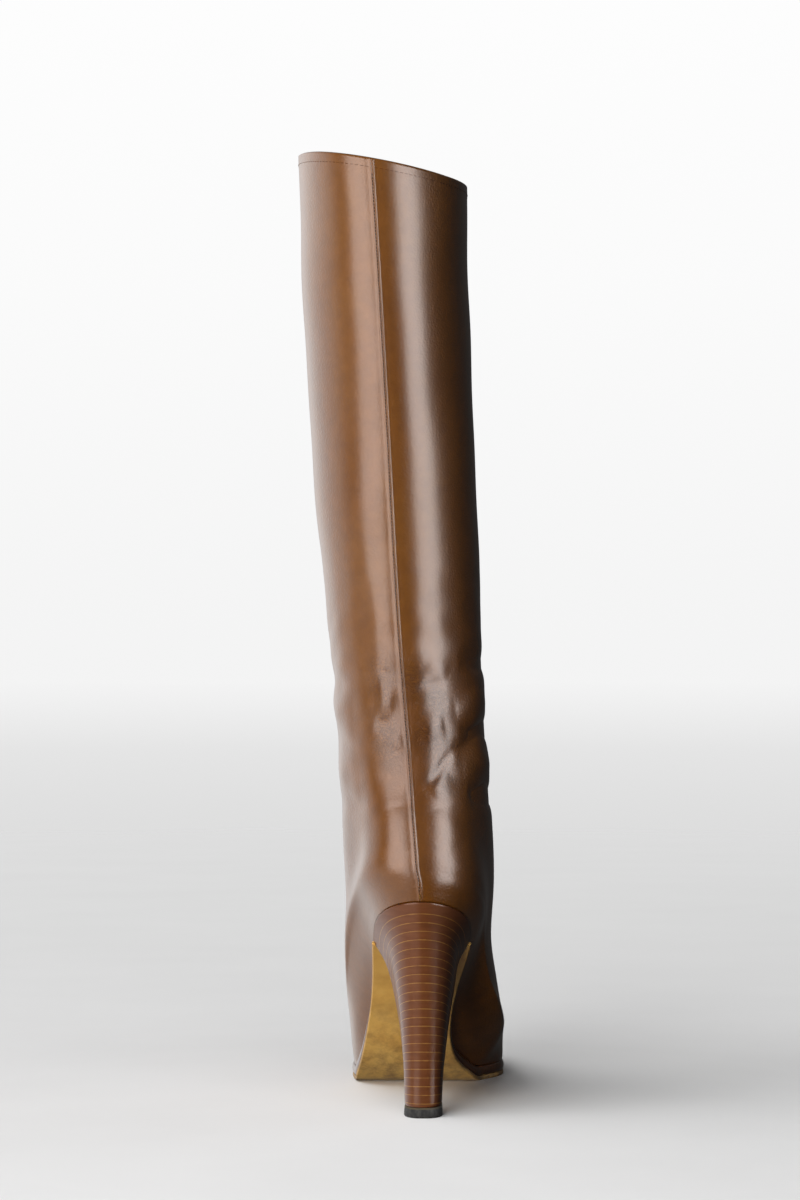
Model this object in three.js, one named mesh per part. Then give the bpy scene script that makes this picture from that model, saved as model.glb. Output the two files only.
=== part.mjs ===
// Tall pull-on boot for the left foot: leather upper, thin covered platform and stacked block heel.
// Millimetres. +Z is up, +Y runs from heel to toe and +X points to the inner side of the foot.
// The origin is the middle of the top lift's face on the floor.
import * as THREE from 'three';

// Foot sizes, taken along the floor from the back of the heel seat
const footLength = 221;
const ballBreadth = 78;
const seatHeight = 107;
const treadStart = 138;
const treadLength = 34;
const toeSpring = 7;
const toeSwing = 8;

// Shaft sizes
const ankleHeight = 180;
const shaftHeight = 469.4;
const shaftBreadth = 84.5;
const shaftDepth = 132;
const shaftLean = 22;
const collarSlope = 0.175;
const collarDip = 3.4;

// Leather and seam sizes
const wall = 2;
const marginWidth = 9;
const seamWidth = 3.6;
const seamTopWidth = 2;
const seamHeight = 0.6;
const hemWidth = 5;
const hemHeight = 0.35;

// Sole sizes. The insole lies insoleSeat above the upper's margin. The platform is at full
// thickness platformLead before the tread, and the outsole steps down to pass under its thin back
// edge over the length platformFeather.
const insoleThickness = 2;
const platformThickness = 4.7;
const platformBack = 88;
const platformBackThickness = 0.6;
const platformLead = 8;
const platformFeather = 11;
const outsoleThickness = 2.2;
const soleEdge = 0.6;
const edgeBevel = 0.5;
const clearance = 0.35;
const insoleClearance = 0.9;
const insoleSeat = 0.55;
const seatClearance = 0.5;

// Heel sizes
const breastPlace = 46;
const tipPlace = 9;
const tipBreadth = 18.2;
const tipDepth = 21;
const liftThickness = 5;
const liftFlare = 0.4;

// Plan of the heel's tip: share of the way to the breast where its round back reaches the full
// breadth, and how square that round is (1 is a plain ellipse, less is squarer)
const tipCorner = 0.7;
const tipSquareness = 0.8;

// Mesh steps
const columnsPerSide = 32;

// Stack of the sole under the tread, from the floor to the underside of the upper
const platformStack = platformThickness + clearance;
const treadHeight = outsoleThickness + clearance + platformStack;
const toeHeight = treadHeight + toeSpring;
const treadEnd = treadStart + treadLength;

// Length ahead of the tread over which the sole bends most
const bendLength = treadStart * 0.36;

// Underside of the upper along the middle of the foot, from the seat down to the tread.
// place: share of treadStart, drop: share of the way down from the seat to the tread.
const shankRows = [
  { place: 0, drop: 0 },
  { place: 0.18, drop: 0.107 },
  { place: 0.333, drop: 0.225 },
  { place: 0.478, drop: 0.377 },
  { place: 0.623, drop: 0.558 },
  { place: 0.754, drop: 0.744 },
  { place: 0.87, drop: 0.89 },
  { place: 0.942, drop: 0.96 },
  { place: 1, drop: 1 },
];

// Slices of the upper, from the feather line (0) to the collar (18), each from back to front.
// backY, frontY: shares of footLength up to the ankle, and of shaftDepth above it.
// backRise, frontRise: shares of the height from the sole to the ankle, and 1 more above it.
// bend: how far the slice follows the curve of the sole. lean, swing: shares of shaftLean, toeSwing.
// backRound, frontRound: fullness of the two ends, as shares of the breadth.
const slices = [
  { at: 0, backY: 0, backRise: 0, frontY: 1, frontRise: 0, bend: 1, lean: 0.045, swing: 0.9,
    backRound: 0.54, frontRound: 0.58 },
  { at: 1, backY: -0.005, backRise: 0.062, frontY: 1.009, frontRise: 0.042, bend: 1, lean: 0.055, swing: 0.9,
    backRound: 0.59, frontRound: 0.61 },
  { at: 2, backY: -0.008, backRise: 0.123, frontY: 0.993, frontRise: 0.103, bend: 0.9, lean: 0.07, swing: 0.93,
    backRound: 0.64, frontRound: 0.57 },
  { at: 3.5, backY: -0.0095, backRise: 0.2, frontY: 0.9, frontRise: 0.172, bend: 0.75, lean: 0.12, swing: 0.97,
    backRound: 0.66, frontRound: 0.51 },
  { at: 5, backY: -0.008, backRise: 0.28, frontY: 0.77, frontRise: 0.242, bend: 0.55, lean: 0.145, swing: 0.9,
    backRound: 0.64, frontRound: 0.5 },
  { at: 7, backY: 0, backRise: 0.41, frontY: 0.615, frontRise: 0.414, bend: 0.3, lean: 0.18, swing: 0.75,
    backRound: 0.57, frontRound: 0.49 },
  { at: 9, backY: 0.0145, backRise: 0.616, frontY: 0.505, frontRise: 0.66, bend: 0.1, lean: 0.236, swing: 0.59,
    backRound: 0.51, frontRound: 0.48 },
  { at: 11, backY: 0.053, backRise: 1, frontY: 0.767, frontRise: 1, bend: 0, lean: 0.327, swing: 0.28,
    backRound: 0.44, frontRound: 0.43 },
  { at: 13, backY: 0.045, backRise: 1.208, frontY: 0.78, frontRise: 1.208, bend: 0, lean: 0.545, swing: 0.31,
    backRound: 0.45, frontRound: 0.45 },
  { at: 15.5, backY: -0.034, backRise: 1.595, frontY: 0.867, frontRise: 1.595, bend: 0, lean: 0.81, swing: 0.22,
    backRound: 0.47, frontRound: 0.47 },
  { at: 18, backY: -0.083, backRise: 2, frontY: 0.917, frontRise: 2, bend: 0, lean: 1.11, swing: 0.55,
    backRound: 0.5, frontRound: 0.5 },
];

// Half breadths of each slice on the outer side, at five stations from back to front.
// Shares of ballBreadth up to the ankle, and of shaftBreadth above it.
const outerBreadths = [
  { at: 0, heel: 0.412, waist: 0.385, joint: 0.48, ball: 0.61, toe: 0.652 },
  { at: 1, heel: 0.455, waist: 0.455, joint: 0.528, ball: 0.612, toe: 0.67 },
  { at: 2, heel: 0.492, waist: 0.512, joint: 0.552, ball: 0.606, toe: 0.627 },
  { at: 3.5, heel: 0.513, waist: 0.522, joint: 0.554, ball: 0.585, toe: 0.565 },
  { at: 5, heel: 0.518, waist: 0.523, joint: 0.544, ball: 0.592, toe: 0.585 },
  { at: 7, heel: 0.46, waist: 0.489, joint: 0.509, ball: 0.556, toe: 0.572 },
  { at: 9, heel: 0.444, waist: 0.479, joint: 0.487, ball: 0.5, toe: 0.517 },
  { at: 11, heel: 0.432, waist: 0.444, joint: 0.45, ball: 0.45, toe: 0.445 },
  { at: 13, heel: 0.444, waist: 0.444, joint: 0.446, ball: 0.447, toe: 0.45 },
  { at: 15.5, heel: 0.482, waist: 0.488, joint: 0.488, ball: 0.486, toe: 0.48 },
  { at: 18, heel: 0.478, waist: 0.478, joint: 0.478, ball: 0.48, toe: 0.484 },
];

// The same for the inner side, with its hollow arch
const innerBreadths = [
  { at: 0, heel: 0.362, waist: 0.155, joint: 0.164, ball: 0.465, toe: 0.526 },
  { at: 1, heel: 0.425, waist: 0.24, joint: 0.3, ball: 0.496, toe: 0.548 },
  { at: 2, heel: 0.469, waist: 0.323, joint: 0.433, ball: 0.513, toe: 0.523 },
  { at: 3.5, heel: 0.497, waist: 0.381, joint: 0.438, ball: 0.49, toe: 0.471 },
  { at: 5, heel: 0.508, waist: 0.4, joint: 0.414, ball: 0.473, toe: 0.486 },
  { at: 7, heel: 0.5, waist: 0.44, joint: 0.435, ball: 0.462, toe: 0.49 },
  { at: 9, heel: 0.469, waist: 0.474, joint: 0.472, ball: 0.474, toe: 0.488 },
  { at: 11, heel: 0.436, waist: 0.444, joint: 0.444, ball: 0.443, toe: 0.44 },
  { at: 13, heel: 0.46, waist: 0.465, joint: 0.466, ball: 0.465, toe: 0.46 },
  { at: 15.5, heel: 0.48, waist: 0.486, joint: 0.486, ball: 0.484, toe: 0.48 },
  { at: 18, heel: 0.51, waist: 0.51, joint: 0.51, ball: 0.51, toe: 0.508 },
];
const stationPlaces = [0, 0.2, 0.4, 0.55, 0.7, 0.85, 1];
const ankleSlice = 11;
const collarSlice = 18;

// Heel from the seat (drop 0) to the top lift (drop 1). outer, inner: what is left of the seat's
// extra half breadth on each side, back, breast: shares of the way from the seat's place to the tip's.
const heelRows = [
  { drop: 0, outer: 1, inner: 1, back: 0, breast: 0 },
  { drop: 0.05, outer: 0.84, inner: 0.82, back: 0.06, breast: 0.14 },
  { drop: 0.12, outer: 0.64, inner: 0.61, back: 0.16, breast: 0.3 },
  { drop: 0.22, outer: 0.465, inner: 0.49, back: 0.3, breast: 0.48 },
  { drop: 0.35, outer: 0.32, inner: 0.38, back: 0.47, breast: 0.66 },
  { drop: 0.5, outer: 0.19, inner: 0.25, back: 0.65, breast: 0.81 },
  { drop: 0.65, outer: 0.105, inner: 0.15, back: 0.8, breast: 0.9 },
  { drop: 0.82, outer: 0.035, inner: 0.05, back: 0.93, breast: 0.97 },
  { drop: 1, outer: 0, inner: 0, back: 1, breast: 1 },
];

// A smooth curve through a table's rows: key names the column that runs along the curve.
function throughRows(rows, key, names, endings = {}) {
  const places = rows.map((row) => row[key]);
  const values = rows.flatMap((row) => names.map((name) => row[name]));
  const curve = new THREE.CubicInterpolant(places, values, names.length, new Float64Array(names.length));
  curve.settings = {
    endingStart: THREE.ZeroCurvatureEnding,
    endingEnd: THREE.ZeroCurvatureEnding,
    ...endings,
  };
  return (place) => {
    const found = curve.evaluate(place);
    return Object.fromEntries(names.map((name, index) => [name, found[index]]));
  };
}

const shankDrop = throughRows(shankRows, 'place', ['drop'], { endingEnd: THREE.ZeroSlopeEnding });

// Height of the upper's underside at a place along the foot
function soleHeight(y) {
  if (y < treadStart) {
    return THREE.MathUtils.lerp(seatHeight, treadHeight, shankDrop(y / treadStart).drop);
  }
  const toeShare = Math.max(0, (y - treadEnd) / (footLength - treadEnd));
  return treadHeight + toeSpring * toeShare ** 2;
}

// A point above (or below) the upper's underside, measured square to it
function onSole(x, y, above) {
  const step = 0.5;
  const slope = (soleHeight(y + step) - soleHeight(y - step)) / (2 * step);
  const length = Math.hypot(1, slope);
  return new THREE.Vector3(x, y - (above * slope) / length, soleHeight(y) + above / length);
}

// Slices in millimetres
const sized = slices.map((row, index) => {
  const onShaft = row.at >= ankleSlice;
  const along = onShaft ? shaftDepth : footLength;
  const across = onShaft ? shaftBreadth : ballBreadth;
  const height = (base, rise) => (rise > 1
    ? THREE.MathUtils.lerp(ankleHeight, shaftHeight, rise - 1)
    : THREE.MathUtils.lerp(base, ankleHeight, rise));
  const outer = outerBreadths[index];
  const inner = innerBreadths[index];
  const cut = {
    at: row.at,
    backY: row.backY * along,
    backZ: height(seatHeight, row.backRise),
    frontY: row.frontY * along,
    frontZ: height(toeHeight, row.frontRise),
    bend: row.bend,
    backX: -row.lean * shaftLean,
    frontX: -row.lean * shaftLean + row.swing * toeSwing,
  };
  const names = ['heel', 'waist', 'joint', 'ball', 'toe'];
  cut.outer0 = row.backRound * across;
  cut.inner0 = row.backRound * across;
  names.forEach((name, station) => {
    cut[`outer${station + 1}`] = outer[name] * across;
    cut[`inner${station + 1}`] = inner[name] * across;
  });
  cut[`outer${names.length + 1}`] = row.frontRound * across;
  cut[`inner${names.length + 1}`] = row.frontRound * across;
  return cut;
});
const sliceNames = Object.keys(sized[0]).filter((name) => name !== 'at');
const sliceAt = throughRows(sized, 'at', sliceNames);

// Half breadth of one side of a slice before its round ends are taken off
function fullness(slice, side, place) {
  const rows = stationPlaces.map((share, index) => ({ share, breadth: slice[`${side}${index}`] }));
  return throughRows(rows, 'share', ['breadth'])(place).breadth;
}

// How far the sole's curve sags below the straight line from seat to toe
function soleSag(place) {
  return soleHeight(place * footLength) - THREE.MathUtils.lerp(seatHeight, toeHeight, place);
}

// Outer face of the upper. at: the slice, angle: 0 at the back, PI at the front, outer side first.
function upperPoint(at, angle) {
  const slice = sliceAt(at);
  const place = (1 - Math.cos(angle)) / 2;
  const side = Math.sin(angle) >= 0 ? 'outer' : 'inner';
  const offCentre = -fullness(slice, side, place) * Math.sin(angle);
  const up = Math.max(0, (at - ankleSlice) / (collarSlice - ankleSlice));
  const collar = -collarSlope * offCentre - collarDip * (1 - place);
  return new THREE.Vector3(
    THREE.MathUtils.lerp(slice.backX, slice.frontX, place) + offCentre,
    THREE.MathUtils.lerp(slice.backY, slice.frontY, place),
    THREE.MathUtils.lerp(slice.backZ, slice.frontZ, place) + slice.bend * soleSag(place) + collar * up ** 2,
  );
}

// The same face moved out (or in) square to itself
function offsetPoint(at, angle, out) {
  const point = upperPoint(at, angle);
  const step = 0.02;
  const low = Math.max(0, at - step);
  const high = Math.min(collarSlice, at + step);
  const upward = upperPoint(high, angle).sub(upperPoint(low, angle));
  const around = upperPoint(at, angle + step).sub(upperPoint(at, angle - step));
  return point.addScaledVector(upward.cross(around).normalize(), out);
}

// Plan outline of the feather line, grown outward or inward
function featherPoint(angle, grow) {
  const step = 0.01;
  const here = upperPoint(0, angle);
  const before = upperPoint(0, angle - step);
  const after = upperPoint(0, angle + step);
  const tangent = new THREE.Vector2(after.x - before.x, after.y - before.y).normalize();
  return new THREE.Vector2(here.x - tangent.y * grow, here.y + tangent.x * grow);
}

// Angles of the columns of one side, even but for the doubled ones where the sole bends to the tread
const sideAngles = Array.from({ length: columnsPerSide - 1 }, (_, index) => index + 1).flatMap((index) => {
  const angle = (index * Math.PI) / columnsPerSide;
  const half = Math.PI / columnsPerSide / 2;
  const place = (footLength * (1 - Math.cos(angle))) / 2;
  const bends = place > treadStart - bendLength && place < treadStart;
  return bends ? [angle, angle + half] : [angle];
});

// Angle of the column nearest to a place along the foot
function columnNear(y) {
  const wanted = Math.acos(1 - (2 * y) / footLength);
  return sideAngles.reduce((best, angle) => (
    Math.abs(angle - wanted) < Math.abs(best - wanted) ? angle : best));
}

// Angles of a slice's columns: the seam's four edges, then both sides
function columnAngles(at) {
  const roundness = sliceAt(at).outer0;
  const seamTop = seamTopWidth / 2 / roundness;
  const seamFoot = seamWidth / 2 / roundness;
  const far = sideAngles.map((angle) => 2 * Math.PI - angle).reverse();
  return [
    seamTop,
    seamFoot,
    ...sideAngles,
    Math.PI,
    ...far,
    2 * Math.PI - seamFoot,
    2 * Math.PI - seamTop,
  ];
}

// A closed geometry from points and triangles
function solidGeometry(points, triangles) {
  const geometry = new THREE.BufferGeometry();
  geometry.setFromPoints(points);
  geometry.setIndex(triangles);
  geometry.computeVertexNormals();
  return geometry;
}

// Quads between two rings of equal length, facing out when next lies above ring
function band(triangles, ring, next, count) {
  for (let column = 0; column < count; column += 1) {
    const other = (column + 1) % count;
    triangles.push(ring + column, next + column, next + other);
    triangles.push(ring + column, next + other, ring + other);
  }
}

// Rings joined each to the next and the last to the first: a wall with two open ends
function sleeveGeometry(rings) {
  const count = rings[0].length;
  const triangles = [];
  rings.forEach((_, index) => {
    band(triangles, index * count, ((index + 1) % rings.length) * count, count);
  });
  return solidGeometry(rings.flat(), triangles);
}

// Rings stacked from the lowest to the highest, closed at both ends by rungs from side to side.
// pointed: the rings start on a single point at the back, and otherwise on a straight edge.
function plateGeometry(rings, pointed) {
  const count = rings[0].length;
  const triangles = [];
  for (let index = 0; index < rings.length - 1; index += 1) {
    band(triangles, index * count, (index + 1) * count, count);
  }
  const partner = (column) => (pointed ? (count - column) % count : count - 1 - column);
  const rung = (start, a, b, c, up) => {
    if (a !== b && b !== c && a !== c) {
      triangles.push(start + a, start + (up ? c : b), start + (up ? b : c));
    }
  };
  const top = (rings.length - 1) * count;
  for (let column = 0; column + 1 <= partner(column + 1); column += 1) {
    const far = column + 1;
    [0, top].forEach((start) => {
      rung(start, column, far, partner(far), start === top);
      rung(start, column, partner(far), partner(column), start === top);
    });
  }
  return solidGeometry(rings.flat(), triangles);
}

// Upper: out at the feather line, up to the collar, over the edge, down the inside and along the margin
function upperGeometry() {
  const seamShoulder = (seamTopWidth + seamWidth) / 4;
  const seamRise = (at, angle) => {
    const fromBack = Math.min(angle, 2 * Math.PI - angle) * sliceAt(at).outer0;
    return fromBack < seamShoulder ? seamHeight : 0;
  };
  const outerRing = (at, rise) => columnAngles(at).map((angle) => (
    offsetPoint(at, angle, rise + seamRise(at, angle))));
  const innerRing = (at) => columnAngles(at).map((angle) => offsetPoint(at, angle, -wall));
  const marginRing = (inset, above) => columnAngles(0).map((angle) => {
    const point = featherPoint(angle, -inset);
    return onSole(point.x, point.y, above);
  });
  const footLevels = Array.from({ length: 2 * ankleSlice + 1 }, (_, index) => index / 2);
  const shaftLevels = [11.6, 12.3, 13, 13.8, 14.6, 15.4, 16.2, 17, 17.6];
  const shaftSlice = (shaftHeight - ankleHeight) / (collarSlice - ankleSlice);
  const hemFoot = collarSlice - hemWidth / shaftSlice;
  const hemStep = hemHeight / shaftSlice;
  const innerLevels = [17, 16, 15, 14, 13, 12, 11, 10, 9, 8.2, 7.4, 6.6, 5.8, 5, 4.2, 3.4, 2.7, 2, 1.4, 1];
  return sleeveGeometry([
    ...[...footLevels, ...shaftLevels, hemFoot].map((at) => outerRing(at, 0)),
    outerRing(hemFoot + hemStep, hemHeight),
    outerRing(collarSlice - hemStep * 2, hemHeight),
    outerRing(collarSlice, 0),
    innerRing(collarSlice),
    ...innerLevels.map(innerRing),
    marginRing(wall, wall),
    marginRing(marginWidth, wall),
    marginRing(marginWidth, 0),
  ]);
}

// Both sides of a flat piece that follows the feather line, from a start angle to the toe
function plateRing(start, grow, above) {
  const near = sideAngles.filter((angle) => angle >= start);
  const far = near.map((angle) => 2 * Math.PI - angle).reverse();
  return [...(start === 0 ? [0] : []), ...near, Math.PI, ...far].map((angle) => {
    const point = featherPoint(angle, grow);
    return onSole(point.x, point.y, above(point.y));
  });
}

// Depth of the platform and its clearance below the upper's clearance, thinning under the arch
function stackDepth(y) {
  const ramp = THREE.MathUtils.smoothstep(y, platformBack, treadStart - platformLead);
  const featherEnd = platformBack - edgeBevel * 2;
  const thinEnd = (platformBackThickness + clearance)
    * THREE.MathUtils.smoothstep(y, featherEnd - platformFeather, featherEnd);
  return THREE.MathUtils.lerp(thinEnd, platformStack, ramp);
}

function insoleGeometry() {
  const inset = -(wall + insoleClearance);
  const low = wall + insoleSeat;
  return plateGeometry([
    plateRing(0, inset, () => low),
    plateRing(0, inset, () => low + insoleThickness),
  ], true);
}

function platformGeometry() {
  const start = columnNear(platformBack);
  return plateGeometry([
    plateRing(start, soleEdge, (y) => -stackDepth(y)),
    plateRing(start, soleEdge, () => -clearance),
  ], false);
}

function outsoleGeometry() {
  const start = columnNear(breastPlace);
  const under = (y) => -clearance - stackDepth(y) - outsoleThickness;
  return plateGeometry([
    plateRing(start, soleEdge - edgeBevel, under),
    plateRing(start, soleEdge, (y) => under(y) + edgeBevel),
    plateRing(start, soleEdge, (y) => -clearance - stackDepth(y)),
  ], false);
}

// Column of the heel's breast, and the angle that keeps it clear of the outsole's back edge
const breastColumn = columnNear(breastPlace);
const breastGap = seatClearance / (footLength / 2);

// Half of the heel's plan from back (0) to breast (1): seat and tip, as x and y
function heelPlan(share, seatGrow) {
  const angle = share * (breastColumn - breastGap);
  const seat = [angle, 2 * Math.PI - angle].map((turn) => featherPoint(turn, seatGrow));
  const round = Math.sin(Math.min(1, share / tipCorner) * (Math.PI / 2)) ** tipSquareness;
  const depth = 1 - Math.cos((share * Math.PI) / 2);
  return { seat, tip: { half: (tipBreadth / 2) * round, y: tipPlace + tipDepth * depth } };
}

// Ring of the heel at a drop from the seat to the tip
function heelRing(drop) {
  const row = throughRows(heelRows, 'drop', ['outer', 'inner', 'back', 'breast'])(drop);
  const tipTop = liftThickness + clearance;
  const side = (share, which) => {
    const { seat, tip } = heelPlan(share, soleEdge - clearance);
    const toTip = THREE.MathUtils.lerp(row.back, row.breast, share);
    const sign = which === 0 ? -1 : 1;
    const left = which === 0 ? row.outer : row.inner;
    const seatPoint = onSole(seat[which].x, seat[which].y, -seatClearance);
    return new THREE.Vector3(
      THREE.MathUtils.lerp(sign * tip.half, seatPoint.x, left),
      THREE.MathUtils.lerp(seatPoint.y, tip.y, toTip),
      THREE.MathUtils.lerp(seatPoint.z, tipTop, drop),
    );
  };
  const shares = [0, ...sideAngles.filter((angle) => angle <= breastColumn).map((angle) => angle / breastColumn)];
  return [
    ...shares.map((share) => side(share, 0)),
    ...shares.slice(1).map((share) => side(share, 1)).reverse(),
  ];
}

function heelGeometry() {
  const drops = [1, 0.9, 0.8, 0.7, 0.6, 0.5, 0.42, 0.34, 0.27, 0.21, 0.16, 0.12, 0.08, 0.04, 0];
  return plateGeometry(drops.map((drop) => heelRing(drop)), true);
}

function liftGeometry() {
  const tip = heelRing(1);
  const centre = new THREE.Vector3(0, tipPlace + tipDepth / 2, 0);
  const ring = (height, flare) => tip.map((point) => {
    const away = new THREE.Vector3().subVectors(point, centre).setZ(0).normalize();
    return new THREE.Vector3(point.x + away.x * flare, point.y + away.y * flare, height);
  });
  return plateGeometry([
    ring(0, liftFlare - edgeBevel),
    ring(edgeBevel, liftFlare),
    ring(liftThickness, 0),
  ], true);
}

function piece(name, geometry, colour, roughness) {
  const material = new THREE.MeshStandardMaterial({ color: colour, roughness, metalness: 0 });
  const mesh = new THREE.Mesh(geometry, material);
  mesh.name = name;
  return mesh;
}

const boot = new THREE.Group();
boot.add(piece('upper', upperGeometry(), 0x7e4a1e, 0.35));
boot.add(piece('insole', insoleGeometry(), 0xb08a5a, 0.7));
boot.add(piece('platform', platformGeometry(), 0x6e3f1c, 0.4));
boot.add(piece('outsole', outsoleGeometry(), 0xaa8040, 0.55));
boot.add(piece('heel', heelGeometry(), 0x603a2a, 0.3));
boot.add(piece('top_lift', liftGeometry(), 0x2e2c2a, 0.7));
boot.position.y = -(tipPlace + tipDepth / 2);

export default boot;
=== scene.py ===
import bpy
import numpy as np
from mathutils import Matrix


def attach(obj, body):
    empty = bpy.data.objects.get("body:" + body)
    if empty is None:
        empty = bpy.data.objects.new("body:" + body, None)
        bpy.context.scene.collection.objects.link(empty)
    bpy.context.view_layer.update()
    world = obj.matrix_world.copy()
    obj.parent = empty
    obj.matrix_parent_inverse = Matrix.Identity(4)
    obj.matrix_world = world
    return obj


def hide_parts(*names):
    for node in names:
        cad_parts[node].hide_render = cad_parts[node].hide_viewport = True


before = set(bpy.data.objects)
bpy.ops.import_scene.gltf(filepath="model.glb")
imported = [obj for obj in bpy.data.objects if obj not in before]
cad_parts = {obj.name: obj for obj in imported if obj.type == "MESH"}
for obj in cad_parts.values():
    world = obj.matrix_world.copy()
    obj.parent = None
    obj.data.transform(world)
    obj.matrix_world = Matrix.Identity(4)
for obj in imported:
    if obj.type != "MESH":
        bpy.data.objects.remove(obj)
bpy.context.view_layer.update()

# Upper: one shell of smooth cognac calf, foot and shaft together, drawn over the last from the
# feather line up to the collar and closed by a single seam down the back. The sizes are those of
# the last and the shaft; lengths run in metres along the floor from the back of the heel seat.
foot_length = 0.221
ball_breadth = 0.078
seat_height = 0.107
tread_start = 0.138
tread_length = 0.034
toe_spring = 0.007
toe_swing = 0.008
ankle_height = 0.180
shaft_height = 0.4694
shaft_breadth = 0.0845
shaft_depth = 0.132
shaft_lean = 0.022
collar_slope = 0.175
collar_dip = 0.0034
clearance = 0.00035
platform_thickness = 0.0047
outsole_thickness = 0.0022
tip_place = 0.009
tip_depth = 0.021
upper_skin = 0.0012
margin_width = 0.009

platform_stack = platform_thickness + clearance
tread_height = outsole_thickness + clearance + platform_stack
toe_height = tread_height + toe_spring
tread_end = tread_start + tread_length
seat_back = -(tip_place + tip_depth / 2)

# Underside of the upper, seat to tread: share of tread_start, share of the drop
shank_rows = [
    (0, 0), (0.18, 0.107), (0.333, 0.225), (0.478, 0.377), (0.623, 0.558),
    (0.754, 0.744), (0.87, 0.89), (0.942, 0.96), (1, 1),
]

# Slices of the upper from the feather line (0) to the collar (18). back_y and front_y are shares
# of the foot's length up to the ankle and of the shaft's depth above it, the rises shares of the
# height from sole to ankle and 1 more above it, and the rounds shares of the breadth.
slice_columns = ("at", "back_y", "back_rise", "front_y", "front_rise", "bend", "lean", "swing",
                 "back_round", "front_round")
slice_rows = [
    (0, 0, 0, 1, 0, 1, 0.045, 0.9, 0.54, 0.58),
    (1, -0.005, 0.062, 1.009, 0.042, 1, 0.055, 0.9, 0.59, 0.61),
    (2, -0.008, 0.123, 0.993, 0.103, 0.9, 0.07, 0.93, 0.64, 0.57),
    (3.5, -0.0095, 0.2, 0.9, 0.172, 0.75, 0.12, 0.97, 0.66, 0.51),
    (5, -0.008, 0.28, 0.77, 0.242, 0.55, 0.145, 0.9, 0.64, 0.5),
    (7, 0, 0.41, 0.615, 0.414, 0.3, 0.18, 0.75, 0.57, 0.49),
    (9, 0.0145, 0.616, 0.505, 0.66, 0.1, 0.236, 0.59, 0.51, 0.48),
    (11, 0.053, 1, 0.767, 1, 0, 0.327, 0.28, 0.44, 0.43),
    (13, 0.045, 1.208, 0.78, 1.208, 0, 0.545, 0.31, 0.45, 0.45),
    (15.5, -0.034, 1.595, 0.867, 1.595, 0, 0.81, 0.22, 0.47, 0.47),
    (18, -0.083, 2, 0.917, 2, 0, 1.11, 0.55, 0.5, 0.5),
]

# Half breadths of each slice at heel, waist, joint, ball and toe, outer side and inner side
outer_rows = [
    (0.412, 0.385, 0.48, 0.61, 0.652), (0.455, 0.455, 0.528, 0.612, 0.67),
    (0.492, 0.512, 0.552, 0.606, 0.627), (0.513, 0.522, 0.554, 0.585, 0.565),
    (0.518, 0.523, 0.544, 0.592, 0.585), (0.46, 0.489, 0.509, 0.556, 0.572),
    (0.444, 0.479, 0.487, 0.5, 0.517), (0.432, 0.444, 0.45, 0.45, 0.445),
    (0.444, 0.444, 0.446, 0.447, 0.45), (0.482, 0.488, 0.488, 0.486, 0.48),
    (0.478, 0.478, 0.478, 0.48, 0.484),
]
inner_rows = [
    (0.362, 0.155, 0.164, 0.465, 0.526), (0.425, 0.24, 0.3, 0.496, 0.548),
    (0.469, 0.323, 0.433, 0.513, 0.523), (0.497, 0.381, 0.438, 0.49, 0.471),
    (0.508, 0.4, 0.414, 0.473, 0.486), (0.5, 0.44, 0.435, 0.462, 0.49),
    (0.469, 0.474, 0.472, 0.474, 0.488), (0.436, 0.444, 0.444, 0.443, 0.44),
    (0.46, 0.465, 0.466, 0.465, 0.46), (0.48, 0.486, 0.486, 0.484, 0.48),
    (0.51, 0.51, 0.51, 0.51, 0.508),
]
station_places = [0, 0.2, 0.4, 0.55, 0.7, 0.85, 1]
ankle_slice = 11
collar_slice = 18


def curve_through(places, values, flat_end=False):
    """A natural cubic curve through a table's rows. flat_end: it ends level."""
    places = np.asarray(places, float)
    values = np.asarray(values, float).reshape(len(places), -1)
    gaps = np.diff(places)
    slopes = np.diff(values, axis=0) / gaps[:, None]
    system = np.eye(len(places))
    right = np.zeros_like(values)
    for row in range(1, len(places) - 1):
        system[row, row - 1:row + 2] = gaps[row - 1], 2 * (gaps[row - 1] + gaps[row]), gaps[row]
        right[row] = 6 * (slopes[row] - slopes[row - 1])
    if flat_end:
        system[-1, -2:] = gaps[-1], 2 * gaps[-1]
        right[-1] = -6 * slopes[-1]
    bends = np.linalg.solve(system, right)

    def at(place):
        place = np.asarray(place, float)
        span = np.clip(np.searchsorted(places, place, side="right") - 1, 0, len(places) - 2)
        gap = gaps[span][..., None]
        near = (places[span + 1][..., None] - place[..., None]) / gap
        far = 1 - near
        bow = (near ** 3 - near) * bends[span] + (far ** 3 - far) * bends[span + 1]
        return near * values[span] + far * values[span + 1] + bow * gap ** 2 / 6
    return at


def smooth_step(value, low, high):
    share = np.clip((value - low) / (high - low), 0, 1)
    return share * share * (3 - 2 * share)


shank_drop = curve_through(*zip(*shank_rows), flat_end=True)


def sole_height(y):
    """Height of the upper's underside at a place along the foot."""
    y = np.asarray(y, float)
    drop = shank_drop(np.clip(y / tread_start, -0.2, 1))[..., 0]
    toe_share = np.maximum(0, (y - tread_end) / (foot_length - tread_end))
    return seat_height + (tread_height - seat_height) * drop + toe_spring * toe_share ** 2


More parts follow.
